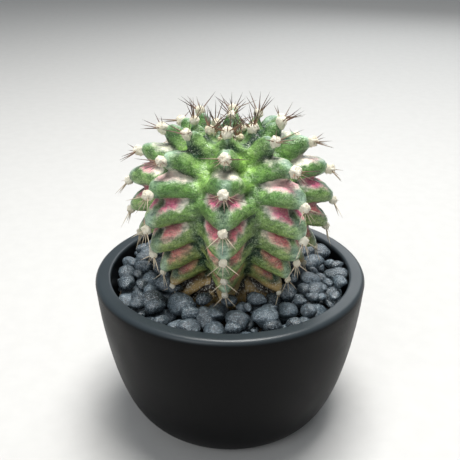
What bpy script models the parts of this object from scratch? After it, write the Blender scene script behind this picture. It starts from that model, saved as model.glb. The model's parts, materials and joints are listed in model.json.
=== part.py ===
"""Potted round cactus: an eight-ribbed globe cactus in a bowl pot dressed with black gravel.

Metres, +Z up. The pot's foot stands on z = 0 with its centre at the origin, and the front is -Y.
Azimuths run from the front towards +X, anticlockwise as seen from above.
"""

import math

import bmesh
import bpy
import numpy as np
from mathutils import Matrix, Vector

MM = 0.001
GAP = 0.3 * MM  # between two pieces that touch

# Pot
POT_RADIUS = 40.0 * MM  # outside of the rim
POT_HEIGHT = 47.0 * MM
FOOT_RADIUS = 22.0 * MM
POT_WALL = 4.5 * MM
POT_FLOOR = 3.5 * MM
RIM_ROUND = 1.6 * MM
DRAIN_RADIUS = 3.5 * MM
POT_BOW = 1.42  # the wall's curve: how soon it steepens, and how full it is
POT_BELLY = 2.7
POT_STEPS = 48
FILLING_STEPS = 32

# Filling, as depths below the rim
SOIL_DROP = 9.5 * MM
BED_DROP = 4.4 * MM
WALL_SLACK = 0.5 * MM  # for the straight stretches between the wall's points
STONE_RADIUS = 3.3 * MM
PEBBLE_RADIUS = 3.8 * MM
STONE_FLATNESS = 0.66
STONE_STRETCH = 0.18  # how much longer than wide a stone may be
STONE_REACH = 1.0 + STONE_STRETCH  # its farthest point from its centre, in radii
STONE_PITCH = 2.15  # between neighbours in a row, and between rows, in radii
# Loose pebbles: azimuth in degrees, share of the way from stem to wall, and size
PEBBLES = (
    (-52, 0.60, 1.10),
    (-14, 0.40, 1.00),
    (20, 0.62, 1.08),
    (66, 0.50, 0.95),
    (118, 0.55, 1.05),
    (176, 0.50, 1.00),
    (-112, 0.52, 1.12),
)

# Stem
STEM_RADIUS = 29.9 * MM  # at the widest areoles
STEM_HEIGHT = 46.0 * MM  # from the pot's rim to the top of the crown
RIBS = 8
RIB_START = math.radians(-3.5)  # azimuth of the front rib
RIB_DEPTH = 8.2 * MM
NOTCH_DEPTH = 4.6 * MM  # under the chin of each tubercle
SKIN_INSET = 0.7 * MM  # from the areoles' centres to the skin under them
CHIN = 0.16  # how far a chin reaches below its areole, in areole spacings
RIDGE_RISE = 0.45  # how far a ridge climbs from crest to valley, in areole spacings
RIDGE_LEVELLING = (5.5, 8.5, 0.85)  # areoles from the crown between which ridges flatten out, and by how much
RISE_START = 0.10  # the ridge's upper side, in areole spacings below the chin above it
RISE_LENGTH = 0.60
NOSE_START = 0.78  # and where it starts to turn in again under its own chin
VALLEY_SHIFT = 0.08  # how much later the one and earlier the other comes in a valley
FINGER_SHARE = 0.8  # share of the ribs' depth that follows a rounded finger, the rest runs straight
FINGER_POWER = 1.2
VALLEY_NOTCH = 0.08  # share of the notches' depth that is left in the valleys
RIBS_FULL = 0.20  # shares of the crest's length at which ribs and notches reach their depth
NOTCHES_FROM = 0.03
NOTCHES_FULL = 0.18
BURIED_DROP = 9.2 * MM  # below the rim, the skin is smooth under this depth and fully ribbed above this one
RIBBED_DROP = 2.0 * MM
STEM_SEGMENTS = 64
STEM_RINGS = 44
RING_CROWDING = 0.18  # how much closer the rings are above the soil
# The ribs' crest from the crown's centre to the root's tip, as shares of STEM_RADIUS and STEM_HEIGHT
# (heights from the rim)
CREST = (
    (0.000, 0.865),
    (0.110, 0.890),
    (0.220, 0.955),
    (0.350, 0.995),
    (0.502, 0.985),
    (0.669, 0.930),
    (0.833, 0.833),
    (0.950, 0.700),
    (1.000, 0.543),
    (0.983, 0.391),
    (0.916, 0.257),
    (0.823, 0.130),
    (0.722, 0.013),
    (0.615, -0.096),
    (0.421, -0.191),
    (0.247, -0.261),
    (0.154, -0.370),
    (0.087, -0.478),
    (0.000, -0.587),
)
# Where the areoles of one rib fall along that crest, youngest first, as shares of its length
AREOLE_SPACING = (0.0, 0.024, 0.060, 0.128, 0.227, 0.3185, 0.412, 0.496, 0.5665, 0.6295, 0.687, 0.744)
RIBS_BETWEEN = 3  # each younger areole stands three ribs round
YOUNGEST_AREOLE = 16  # counted outwards from the crown's centre, the ones before it are crown_wool
OLDEST_AREOLE = 63

# Areoles
SPINE_RADIUS = 0.25 * MM
SPINE_RING = 0.5  # radius of the ring that the spines start from, as a share of the wool's
CROWN_WOOL_RADIUS = 2.2 * MM
CROWN_WOOL_RISE = 0.3  # of the cushion's centre above the skin, as a share of its radius
CROWN_SPINE = 4.0 * MM
CROWN_TILT = 8
WOOL_FLATNESS = 0.6
TUFT_CLEARANCE = 0.2 * MM  # above the skin's mean line, the chin's droop under it adds the rest of the gap
# Each style: its last areole, the wool's radius, and its spines' length, tilt from the areole's axis
# and roll angles about it, where -90 is down the rib
STYLES = {
    "crown": (23, 1.2 * MM, 5.4 * MM, 22, (-90, -20, 200)),
    "shoulder": (39, 1.6 * MM, 5.6 * MM, 50, (-90, -40, 5, 175, 220)),
    "flank": (55, 1.5 * MM, 5.0 * MM, 62, (-90, -60, -28, 208, 240)),
    "low": (99, 1.15 * MM, 4.4 * MM, 60, (-90, -50, -15, 195, 230)),
}

GOLDEN = (math.sqrt(5) - 1) / 2


def clear_scene():
    for obj in list(bpy.data.objects):
        bpy.data.objects.remove(obj, do_unlink=True)


def new_collection(name):
    collection = bpy.data.collections.new(name)
    bpy.context.scene.collection.children.link(collection)
    return collection


def make_material(name, colour, roughness):
    material = bpy.data.materials.new(name)
    material.use_nodes = True
    shader = material.node_tree.nodes["Principled BSDF"]
    shader.inputs["Base Color"].default_value = (*colour, 1.0)
    shader.inputs["Roughness"].default_value = roughness
    return material


def add_object(name, mesh, material, collection):
    obj = bpy.data.objects.new(name, mesh)
    if not mesh.materials:
        mesh.materials.append(material)
    collection.objects.link(obj)
    return obj


def smooth_shade(mesh):
    for polygon in mesh.polygons:
        polygon.use_smooth = True


def smoothstep(low, high, value):
    share = np.clip((value - low) / (high - low), 0.0, 1.0)
    return share * share * (3.0 - 2.0 * share)


def smooth_curve(points, steps=16):
    """A Catmull-Rom curve through the points, as an array of finer points."""
    knots = np.array(points, float)
    knots = np.vstack([2 * knots[0] - knots[1], knots, 2 * knots[-1] - knots[-2]])
    share = (np.arange(steps) / steps)[:, None]
    spans = []
    for before, start, end, after in zip(knots, knots[1:], knots[2:], knots[3:]):
        bend = 2 * before - 5 * start + 4 * end - after
        twist = 3 * start - before - 3 * end + after
        spans.append(start + 0.5 * share * (end - before + share * (bend + share * twist)))
    return np.vstack([*spans, knots[-2:-1]])


def turned(name, profile, material, collection, steps):
    """A solid turned about Z from (radius, height) points, whose outer side runs downwards."""
    bm = bmesh.new()
    vertices = [bm.verts.new((radius, 0.0, height)) for radius, height in profile]
    for first, second in zip(vertices, vertices[1:]):
        bm.edges.new((first, second))
    if profile[0][0] > 0.0:
        bm.edges.new((vertices[-1], vertices[0]))
    mesh = bpy.data.meshes.new(name)
    bm.to_mesh(mesh)
    bm.free()
    obj = add_object(name, mesh, material, collection)
    screw = obj.modifiers.new("Turn", "SCREW")
    screw.axis = "Z"
    screw.steps = steps
    screw.render_steps = steps
    screw.use_merge_vertices = True
    screw.merge_threshold = 0.00001
    screw.use_smooth_shade = True
    return obj


# Pot and filling


def pot_outside(height):
    """Outer radius of the pot at a height: a bowl that is steep at the rim and runs in to the foot."""
    foot_share = FOOT_RADIUS / POT_RADIUS
    share = min(max(height / POT_HEIGHT, 0.0), 1.0)
    swell = (1.0 - (1.0 - share) ** POT_BOW) ** (1.0 / POT_BELLY)
    return POT_RADIUS * (foot_share + (1.0 - foot_share) * swell)


def pot_inside(height):
    return pot_outside(height) - POT_WALL


def rounded_corner(centre, radius, start, end, steps):
    """Points on an arc, with its angles in degrees from +radius towards +height."""
    angles = [math.radians(start + (end - start) * step / steps) for step in range(steps + 1)]
    return [(centre[0] + radius * math.cos(a), centre[1] + radius * math.sin(a)) for a in angles]


def make_pot(material, collection):
    inner_round = 0.4 * RIM_ROUND
    outer_corner = (POT_RADIUS - RIM_ROUND, POT_HEIGHT - RIM_ROUND)
    inner_corner = (POT_RADIUS - POT_WALL + inner_round, POT_HEIGHT - inner_round)
    profile = rounded_corner(outer_corner, RIM_ROUND, 90, 0, 4)
    outside = [share * POT_HEIGHT for share in (0.85, 0.7, 0.54, 0.4, 0.28, 0.18, 0.1, 0.04, 0.01)]
    profile += [(pot_outside(height), height) for height in outside]
    profile += [(FOOT_RADIUS, 0.0), (DRAIN_RADIUS, 0.0), (DRAIN_RADIUS, POT_FLOOR)]
    depth = POT_HEIGHT - POT_FLOOR
    inside = [POT_FLOOR + share * depth for share in (0.0, 0.1, 0.25, 0.45, 0.67, 0.86)]
    profile += [(pot_inside(height), height) for height in inside]
    profile += rounded_corner(inner_corner, inner_round, 180, 90, 2)
    return turned("pot", profile, material, collection, POT_STEPS)


def wall_line(low, high):
    """The filling's side against the pot, from its top down, clear of the wall's facets."""
    facet = math.cos(math.pi / POT_STEPS)
    heights = [high + (low - high) * step / 5 for step in range(6)]
    return [((pot_inside(height) - WALL_SLACK) * facet - GAP, height) for height in heights]


def stem_line(low, high):
    """The filling's side against the stem, from its lower end up, clear of the skin."""
    inside = [(r + GAP, z - GAP) for r, z in OUTLINE[::-8] if low < z - GAP < high]
    return [(crest_radius(low + GAP) + GAP, low), *inside, (crest_radius(high) + GAP, high)]


def make_soil(material, collection):
    top = POT_HEIGHT - SOIL_DROP
    root_tip = OUTLINE[-1][1]
    bottom = POT_FLOOR + GAP
    profile = [(0.0, root_tip - 2 * GAP), (GAP, root_tip - 2 * GAP)]
    profile += stem_line(root_tip - GAP, top)
    profile += wall_line(bottom, top)
    profile += [(0.0, bottom)]
    return turned("potting_soil", profile, material, collection, FILLING_STEPS)


def stone_mesh(bm, centre, radius, turn, detail):
    """One rounded, slightly flattened stone added to a bmesh."""
    made = bmesh.ops.create_icosphere(bm, subdivisions=detail, radius=1.0)["verts"]
    longer = 1.0 + STONE_STRETCH * math.sin(5.0 * turn)
    scale = Matrix.Diagonal((radius * longer, radius / longer, radius * STONE_FLATNESS, 1.0))
    place = Matrix.Translation(centre) @ Matrix.Rotation(turn, 4, "Z") @ scale
    bmesh.ops.transform(bm, matrix=place, verts=made)


def pebble_places():
    """Centre and radius of each loose pebble, which lies flat on the bed."""
    height = POT_HEIGHT - BED_DROP
    places = []
    for degrees, share, size in PEBBLES:
        radius = PEBBLE_RADIUS * size
        nearest = crest_radius(height) + GAP + STONE_REACH * radius
        farthest = pot_inside(height) - GAP - STONE_REACH * radius
        out = nearest + (farthest - nearest) * share
        turn = math.radians(degrees)
        lift = height + GAP + radius * STONE_FLATNESS
        places.append((Vector((out * math.sin(turn), -out * math.cos(turn), lift)), radius))
    return places


def make_gravel_bed(material, collection, helpers):
    """The packed gravel as one ring with the tops of its stones on it, and bare spots under the pebbles."""
    top = POT_HEIGHT - BED_DROP
    bottom = POT_HEIGHT - SOIL_DROP + GAP
    profile = wall_line(bottom, top) + stem_line(bottom, top)
    bed = turned("gravel_bed", profile, material, collection, FILLING_STEPS)

    nearest = crest_radius(top) + GAP + STONE_REACH * STONE_RADIUS
    farthest = pot_inside(top) - 2 * GAP - STONE_REACH * STONE_RADIUS
    rows = 2 + int(max(0.0, farthest - nearest) / (STONE_PITCH * STONE_RADIUS))
    bm = bmesh.new()
    loose = pebble_places()
    count = 0
    for row in range(rows):
        out = nearest + (farthest - nearest) * row / (rows - 1)
        around = int(2 * math.pi * out / (STONE_PITCH * STONE_RADIUS))
        for step in range(around):
            count += 1
            turn = 2 * math.pi * (step + 0.5 * row) / around
            radius = STONE_RADIUS * (0.8 + 0.2 * ((count * GOLDEN) % 1.0))
            centre = Vector((out * math.sin(turn), -out * math.cos(turn), top + 0.1 * radius))
            room = [(centre - place).xy.length - STONE_REACH * (radius + size) for place, size in loose]
            if min(room) > GAP:
                stone_mesh(bm, centre, radius, turn + count, 1)
    mesh = bpy.data.meshes.new("stone_tops")
    bm.to_mesh(mesh)
    bm.free()
    stones = add_object("stone_tops", mesh, material, helpers)
    stones.hide_render = True
    stones.display_type = "WIRE"
    join = bed.modifiers.new("Stones", "BOOLEAN")
    join.operation = "UNION"
    join.solver = "EXACT"
    join.use_self = True
    join.object = stones
    return bed


def make_pebbles(material, collection):
    for index, (centre, radius) in enumerate(pebble_places(), 1):
        bm = bmesh.new()
        stone_mesh(bm, (0.0, 0.0, 0.0), radius, 1.7 * index, 2)
        mesh = bpy.data.meshes.new(f"pebble_{index:02d}")
        bm.to_mesh(mesh)
        bm.free()
        smooth_shade(mesh)
        pebble = add_object(mesh.name, mesh, material, collection)
        pebble.location = centre


# Stem


OUTLINE = smooth_curve(CREST) * (STEM_RADIUS, STEM_HEIGHT) + (0.0, POT_HEIGHT)
OUTLINE[-1, 0] = 0.0
OUTLINE_SHARE = np.concatenate([[0.0], np.cumsum(np.linalg.norm(np.diff(OUTLINE, axis=0), axis=1))])
OUTLINE_SHARE /= OUTLINE_SHARE[-1]
SPACING = smooth_curve([(count, share) for count, share in enumerate(AREOLE_SPACING)])


def crest_radius(height):
    """Radius of the crests at a height below the widest areoles."""
    widest = int(np.argmax(OUTLINE[:, 0]))
    return float(np.interp(height, OUTLINE[:widest:-1, 1], OUTLINE[:widest:-1, 0]))


def crown_height(radius):
    """Height of the outline at a radius inside the crown's dip."""
    top = int(np.argmax(OUTLINE[:, 1]))
    return float(np.interp(radius, OUTLINE[:top, 0], OUTLINE[:top, 1]))


def outline_point(share):
    """Radius, height and the outward direction's two parts, at a share of the crest's length."""
    step = 0.004
    radius = np.interp(share, OUTLINE_SHARE, OUTLINE[:, 0])
    height = np.interp(share, OUTLINE_SHARE, OUTLINE[:, 1])
    before = np.clip(share - step, 0.0, 1.0)
    after = np.clip(share + step, 0.0, 1.0)
    run = np.interp(after, OUTLINE_SHARE, OUTLINE[:, 0]) - np.interp(before, OUTLINE_SHARE, OUTLINE[:, 0])
    rise = np.interp(after, OUTLINE_SHARE, OUTLINE[:, 1]) - np.interp(before, OUTLINE_SHARE, OUTLINE[:, 1])
    run = np.where(share < step, np.abs(run), run)
    rise = np.where(share < step, 0.0, rise)
    length = np.hypot(run, rise)
    return radius, height, -rise / length, run / length


def ridge_profile(along, across):
    """Height of a tubercle, 0 in the notch to 1 on top, over one areole spacing from chin to chin."""
    start = RISE_START + VALLEY_SHIFT * across
    nose = NOSE_START - VALLEY_SHIFT * across
    rise = smoothstep(0.0, 1.0, (along - start) / RISE_LENGTH)
    fall = np.clip((along - nose) / (1.0 - nose), 0.0, 1.0)
    return rise**0.8 * np.sqrt(1.0 - fall**2)


def stem_skin(share, azimuth):
    """Skin points for arrays of the share down the outline and the azimuth."""
    radius, height, out_part, up_part = outline_point(share)
    position = (azimuth - RIB_START) * RIBS / (2 * math.pi)
    rib = np.rint(position)
    across = 2.0 * np.abs(position - rib)  # 0 on a crest, 1 in a valley

    # Tubercles: each swells from its notch to the areole at its chin, and its two shoulders climb
    # as ridges from the crest to the valleys beside it
    phase = ((RIBS - RIBS_BETWEEN) * rib % RIBS) / RIBS
    count = np.interp(share, SPACING[:, 1], SPACING[:, 0])
    first, last, levelled = RIDGE_LEVELLING
    rise = RIDGE_RISE * (1.0 - levelled * smoothstep(first, last, count))
    climb = rise * (across**2 + 0.002) ** 0.35  # a V whose point is slightly rounded
    along = (count - phase + climb - CHIN) % 1.0
    ridge = ridge_profile(along, across)

    ribbed = smoothstep(POT_HEIGHT - BURIED_DROP, POT_HEIGHT - RIBBED_DROP, height)
    finger = (0.5 + 0.5 * np.cos(math.pi * across)) ** FINGER_POWER
    inward = 1.0 - FINGER_SHARE * finger - (1.0 - FINGER_SHARE) * (1.0 - across)
    depth = RIB_DEPTH * smoothstep(0.0, RIBS_FULL, share) * inward
    notch = NOTCH_DEPTH * smoothstep(NOTCHES_FROM, NOTCHES_FULL, share)
    notch = notch * (1.0 - (1.0 - VALLEY_NOTCH) * across) * (1.0 - ridge)
    offset = -ribbed * (SKIN_INSET + depth + notch)

    radius = radius + out_part * offset
    height = height + up_part * offset
    return np.stack([radius * np.sin(azimuth), -radius * np.cos(azimuth), height], axis=-1)


def make_stem(material, collection):
    bm = bmesh.new()
    bmesh.ops.create_uvsphere(bm, u_segments=STEM_SEGMENTS, v_segments=STEM_RINGS, radius=1.0)
    unit = np.array([vertex.co for vertex in bm.verts])
    polar = np.arccos(np.clip(unit[:, 2], -1.0, 1.0)) / math.pi
    share = (1.0 - RING_CROWDING) * polar + RING_CROWDING * polar**4
    azimuth = np.arctan2(unit[:, 0], -unit[:, 1]) + RIB_START
    for vertex, point in zip(bm.verts, stem_skin(share, azimuth)):
        vertex.co = point
    mesh = bpy.data.meshes.new("cactus_stem")
    bm.to_mesh(mesh)
    bm.free()
    smooth_shade(mesh)
    return add_object("cactus_stem", mesh, material, collection)


# Areoles


def areole_frame(count, wool_radius):
    """Place of an areole on its crest: X across the rib, Y up the rib and Z outwards."""
    spacing = count / RIBS
    share = np.interp(spacing, SPACING[:, 0], SPACING[:, 1])
    radius, height, out_part, up_part = (float(part) for part in outline_point(share))
    azimuth = RIB_START - count * RIBS_BETWEEN * 2 * math.pi / RIBS
    front = Vector((math.sin(azimuth), -math.cos(azimuth), 0.0))
    side = Vector((math.cos(azimuth), math.sin(azimuth), 0.0))
    axis = front * out_part + Vector((0.0, 0.0, up_part))
    frame = Matrix((side, axis.cross(side), axis)).transposed().to_4x4()
    lift = WOOL_FLATNESS * wool_radius + TUFT_CLEARANCE - SKIN_INSET
    return Matrix.Translation(front * radius + Vector((0.0, 0.0, height)) + axis * lift) @ frame


def tuft_mesh(name, wool_radius, length, tilt, rolls, material, helpers):
    """A wool cushion with spines growing out of it, joined as one body."""
    bm = bmesh.new()
    bmesh.ops.create_uvsphere(bm, u_segments=8, v_segments=4, radius=wool_radius)
    bmesh.ops.scale(bm, vec=(1.0, 1.0, WOOL_FLATNESS), verts=bm.verts)
    wool_mesh = bpy.data.meshes.new(f"{name}_wool")
    bm.to_mesh(wool_mesh)
    bm.free()
    bm = bmesh.new()
    for roll in rolls:
        turn = Matrix.Rotation(math.radians(roll), 4, "Z")
        lean = Matrix.Rotation(math.radians(tilt), 4, "Y")
        start = Matrix.Translation((SPINE_RING * wool_radius, 0.0, 0.0))
        rise = Matrix.Translation((0.0, 0.0, 0.5 * length))
        bmesh.ops.create_cone(
            bm,
            cap_ends=True,
            segments=4,
            radius1=SPINE_RADIUS,
            radius2=0.0,
            depth=length,
            matrix=turn @ start @ lean @ rise,
        )
    spine_mesh = bpy.data.meshes.new(f"{name}_spines")
    bm.to_mesh(spine_mesh)
    bm.free()
    wool = add_object(wool_mesh.name, wool_mesh, material, helpers)
    spines = add_object(spine_mesh.name, spine_mesh, material, helpers)
    join = wool.modifiers.new("Spines", "BOOLEAN")
    join.operation = "UNION"
    join.solver = "EXACT"
    join.object = spines
    bpy.context.view_layer.update()
    whole = bpy.data.meshes.new_from_object(wool.evaluated_get(bpy.context.evaluated_depsgraph_get()))
    whole.name = name
    for helper in (wool, spines):
        bpy.data.objects.remove(helper, do_unlink=True)
    return whole


def make_areoles(material, collection, helpers):
    count = YOUNGEST_AREOLE
    for style, (last, wool_radius, *spines) in STYLES.items():
        tuft = tuft_mesh(f"{style}_tuft", wool_radius, *spines, material, helpers)
        while count <= min(last, OLDEST_AREOLE):
            name = f"areole_{count - YOUNGEST_AREOLE + 1:02d}"
            areole = add_object(name, tuft, material, collection)
            areole.matrix_world = areole_frame(count, wool_radius)
            count += 1


def make_crown_wool(material, collection, helpers):
    """The youngest areoles, too close to part, as one cushion in the dip of the crown."""
    rolls = range(0, 360, 60)
    mesh = tuft_mesh("crown_wool", CROWN_WOOL_RADIUS, CROWN_SPINE, CROWN_TILT, rolls, material, helpers)
    crown = add_object("crown_wool", mesh, material, collection)
    crown.location.z = crown_height(CROWN_WOOL_RADIUS) + CROWN_WOOL_RISE * CROWN_WOOL_RADIUS


def main():
    clear_scene()
    parts = new_collection("potted_round_cactus")
    helpers = new_collection("joined_shapes")
    black_ceramic = make_material("black_ceramic", (0.018, 0.017, 0.017), 0.5)
    soil = make_material("potting_soil", (0.045, 0.028, 0.018), 0.95)
    skin = make_material("green_skin", (0.07, 0.17, 0.06), 0.5)
    stone = make_material("black_stone", (0.025, 0.028, 0.034), 0.45)
    wool = make_material("cream_wool", (0.74, 0.68, 0.52), 0.95)
    make_pot(black_ceramic, parts)
    make_soil(soil, parts)
    make_gravel_bed(stone, parts, helpers)
    make_pebbles(stone, parts)
    make_stem(skin, parts)
    make_areoles(wool, parts, helpers)
    make_crown_wool(wool, parts, helpers)


main()
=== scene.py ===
"""Looks of the potted round cactus: bowl, gravel, ribbed stem and its tufts of wool and spines.

Metres, +Z up, front -Y. Azimuths run from the front towards +X, anticlockwise as seen from above.
"""

import json
import math
from typing import NamedTuple

import bmesh
import bpy
import numpy as np
from bpy.props import FloatProperty, FloatVectorProperty, IntProperty, PointerProperty
from mathutils import Euler, Matrix, Vector

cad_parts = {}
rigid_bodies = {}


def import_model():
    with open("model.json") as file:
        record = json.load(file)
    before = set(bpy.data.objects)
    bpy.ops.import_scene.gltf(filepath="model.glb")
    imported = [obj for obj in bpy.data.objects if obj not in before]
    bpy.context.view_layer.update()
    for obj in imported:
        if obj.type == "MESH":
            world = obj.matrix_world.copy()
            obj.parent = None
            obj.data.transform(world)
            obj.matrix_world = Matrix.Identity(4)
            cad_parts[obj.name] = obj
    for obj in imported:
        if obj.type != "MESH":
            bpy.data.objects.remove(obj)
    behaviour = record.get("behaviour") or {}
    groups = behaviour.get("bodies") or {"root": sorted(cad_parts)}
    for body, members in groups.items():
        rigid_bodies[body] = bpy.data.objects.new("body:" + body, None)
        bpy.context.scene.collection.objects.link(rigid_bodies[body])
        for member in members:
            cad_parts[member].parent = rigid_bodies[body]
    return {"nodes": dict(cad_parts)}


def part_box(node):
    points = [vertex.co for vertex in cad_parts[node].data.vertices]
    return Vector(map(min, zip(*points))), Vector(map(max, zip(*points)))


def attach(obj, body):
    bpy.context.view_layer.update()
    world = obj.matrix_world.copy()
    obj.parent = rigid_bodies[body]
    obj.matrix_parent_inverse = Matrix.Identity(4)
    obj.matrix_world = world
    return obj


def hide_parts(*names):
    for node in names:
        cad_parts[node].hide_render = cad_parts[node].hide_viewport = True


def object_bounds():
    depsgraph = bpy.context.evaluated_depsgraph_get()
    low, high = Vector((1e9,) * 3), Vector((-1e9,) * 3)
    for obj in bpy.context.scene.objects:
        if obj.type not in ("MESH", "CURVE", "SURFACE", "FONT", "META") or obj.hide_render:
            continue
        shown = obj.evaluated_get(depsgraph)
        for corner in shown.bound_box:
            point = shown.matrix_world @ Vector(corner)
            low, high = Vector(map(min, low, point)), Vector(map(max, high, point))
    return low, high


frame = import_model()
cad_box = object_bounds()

bl_info = {
    "name": "Potted round cactus",
    "version": (1, 0, 0),
    "blender": (4, 5, 0),
    "location": "3D View > Sidebar > Cactus",
    "description": "Builds a ribbed globe cactus in a black bowl dressed with gravel",
    "category": "Object",
}

MM = 0.001
FULL_TURN = 2 * math.pi

# Bowl
BOWL_BOW = 1.42  # how soon the side steepens
BOWL_BELLY = 2.7  # how full the side is
BOWL_SIDES = 128
OUTSIDE_RINGS = (27, 1.6)  # how many, and how closely they bunch towards the foot
INSIDE_RINGS = (14, 1.4)
RIM_STEPS = (7, 4)  # outer and inner edge
INNER_ROUND = 0.4  # the inner edge's rounding, as a share of the outer one's
FOOT_ROUND = 0.5 * MM
CREASE_ANGLE = math.radians(40)

# Gravel
BED_DEPTH = 10.6 * MM  # from the rim down to the bed's base
BED_CROWN = 2.5 * MM  # the most that a stone by the stem stands over the rim
BED_SLOPE = 1.7 * MM  # how much lower the bed stays at the wall
STEM_OVERHANG = 2.6 * MM  # how far stones reach in under the ribs
WALL_LEVEL = 4.0 * MM  # below the rim, where the room for stones is measured
STEM_GAP = 0.55  # from the stem and from the wall to a stone's centre, in its mean half side
WALL_GAP = 0.95
PLACES_TRIED = 90  # for each stone
MAP_CELL = 0.4 * MM
STONE_SHAPES = 10
FEWEST_CUTS = 4
MOST_CUTS = 9
CUT_DEPTHS = (0.55, 0.88)  # from a unit ball's centre to the planes that flatten it
STONE_VOXEL = 0.25
SMALL_STONE = 0.68
GRIT_STONE = 0.60
STONE_TILT = 0.18
STONE_FILL = 0.49  # half a stone's side, as a share of the room that it is given
LOOSE_STONES = 7

# Stem
RIDGE_LEVELLING = (5.5, 8.5, 0.85)  # turns between which ridges flatten, and by how much
FINGER_SHARE = 0.8  # of the valleys' depth, rounded like a finger and not straight
FINGER_POWER = 1.2
VALLEY_NOTCH = 0.08  # share of a notch's depth that reaches the valley
RIBS_FULL = 0.20  # shares of the crest line
NOTCHES_FROM = 0.03
NOTCHES_FULL = 0.18
BURIED_DROP = 9.2 * MM  # below the rim, where the ribs have faded out
RIBBED_DROP = 2.0 * MM  # below the rim, where they are at full depth
STEM_COLUMNS = 264
STEM_ROWS = 290
SWELLINGS = (5.0 * MM, 0.9 * MM)  # size and height
PIMPLES = (1.1 * MM, 0.22 * MM)
YOUNGEST_LEVEL = 2.0  # turns from the crown where the colours' ageing starts
LEVELS = 8.0  # turns that it takes
CORK_TOP = 50.5 * MM
CORK_FULL = 47.0 * MM

# Coloured patches: where they fade away from the crest and down from the chin, in shares of the way to the
# valley and to the next chin, and over which turns from the crown they come up
PATCH_ACROSS = (0.44, 0.90)
PATCH_ALONG = (0.20, 0.68)
PATCH_TURNS = (3.2, 5.0)
PARTED_ACROSS = (0.02, 0.24)  # lower down, the crest parts them
PARTED_TURNS = (4.7, 5.5)
SHADE_ALONG = (0.04, 0.34)  # brown shade right under a chin
SHADE_TURNS = (3.0, 4.5)

# The crest line from the crown's centre to the root's tip, as shares of the stem's radius and height
CREST = (
    (0.000, 0.865),
    (0.110, 0.890),
    (0.220, 0.955),
    (0.350, 0.995),
    (0.502, 0.985),
    (0.669, 0.930),
    (0.833, 0.833),
    (0.950, 0.700),
    (1.000, 0.543),
    (0.983, 0.391),
    (0.916, 0.257),
    (0.823, 0.130),
    (0.722, 0.013),
    (0.615, -0.096),
    (0.421, -0.191),
    (0.247, -0.261),
    (0.154, -0.370),
    (0.087, -0.478),
    (0.000, -0.587),
)
# Where the areoles of one rib fall along that crest, youngest first, as shares of its length
AREOLE_SPACING = (0.0, 0.024, 0.060, 0.128, 0.227, 0.3185, 0.412, 0.496, 0.5665, 0.6295, 0.687, 0.744)
RIBS_BETWEEN = 3  # from an areole to the next one of the spiral
CHIN = 0.16  # how far a chin reaches below its areole, in areole spacings
RIDGE_RISE = 0.45  # how far a ridge climbs from crest to valley, in areole spacings

# Tufts
INNERMOST_TUFT = 4  # areoles are counted outwards from the crown's centre
FIRST_TUFT = 16
LAST_CAD_TUFT = 63
LAST_TUFT = 78
YOUNG_TUFTS = 24  # whose wool is yellower
TUFT_LIFT = 0.45  # of a wool ball's centre over the skin, in its radii
FLEECES = 4
HAIRS = 90
SPINE_BOWS = (0.02, 0.06, 0.11)
SPINE_STATIONS = (0.0, 0.22, 0.48, 0.74, 1.0)
SPINE_WIDTHS = (1.0, 0.92, 0.74, 0.46, 0.06)

# Studio
SENSOR_WIDTH = 36.0  # in millimetres, as is the lens
LENS = 54.78
CAMERA_PLACE = (0.0, -0.186, 0.1462)
CAMERA_TILT = math.radians(64.96)
ROOM_COLOUR = (0.90, 0.95, 1.0)
# Name, place, size, share of the light's power, and colour
SOFTBOXES = (
    ("overhead_softbox", (0.04, 0.06, 0.70), 0.32, 1.15, (1.0, 0.99, 0.97)),
    ("front_softbox", (-0.35, -0.60, 0.50), 0.45, 0.34, (0.96, 0.98, 1.0)),
    ("back_softbox", (0.25, 0.65, 0.45), 0.50, 0.28, (0.95, 0.98, 1.0)),
)


# Settings


def size_property(name, description, default):
    return FloatProperty(
        name=name, description=description, default=default, unit="LENGTH", min=0.0, precision=5
    )


def colour_property(name, description, default):
    return FloatVectorProperty(
        name=name, description=description, default=default, subtype="COLOR", size=3, min=0.0, max=1.0
    )


class BowlSettings(bpy.types.PropertyGroup):
    rim_radius: size_property("Rim radius", "Outside radius of the bowl's rim", 40.0 * MM)
    height: size_property("Height", "Height of the bowl", 47.0 * MM)
    foot_radius: size_property("Foot radius", "Radius of the flat foot", 22.0 * MM)
    wall: size_property("Wall", "Thickness of the wall", 4.5 * MM)
    floor: size_property("Floor", "Thickness of the floor", 3.5 * MM)
    rim_round: size_property("Rim rounding", "Radius of the rim's outer edge", 1.6 * MM)
    drain_radius: size_property("Drain radius", "Radius of the drain hole", 3.5 * MM)
    glaze: colour_property("Glaze", "Colour of the matt glaze", (0.0022, 0.0022, 0.0025))
    # the lip's colour is partly dust and partly a painted sheen, lighter where the rim catches the light
    lip: colour_property("Lip", "Colour of the dusty lip", (0.026, 0.035, 0.041))


class GravelSettings(bpy.types.PropertyGroup):
    stone_size: size_property("Stone size", "Usual length of a stone", 8.0 * MM)
    stones: IntProperty(name="Stones", description="How many stones are dropped", default=400, min=1)
    seed: IntProperty(name="Seed", description="Seed of the stones' places", default=7)
    stone: colour_property("Stone", "Colour of the dark stone", (0.062, 0.086, 0.105))
    grain: colour_property("Grains", "Colour of the pale grains in the stone", (0.34, 0.41, 0.46))


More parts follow.
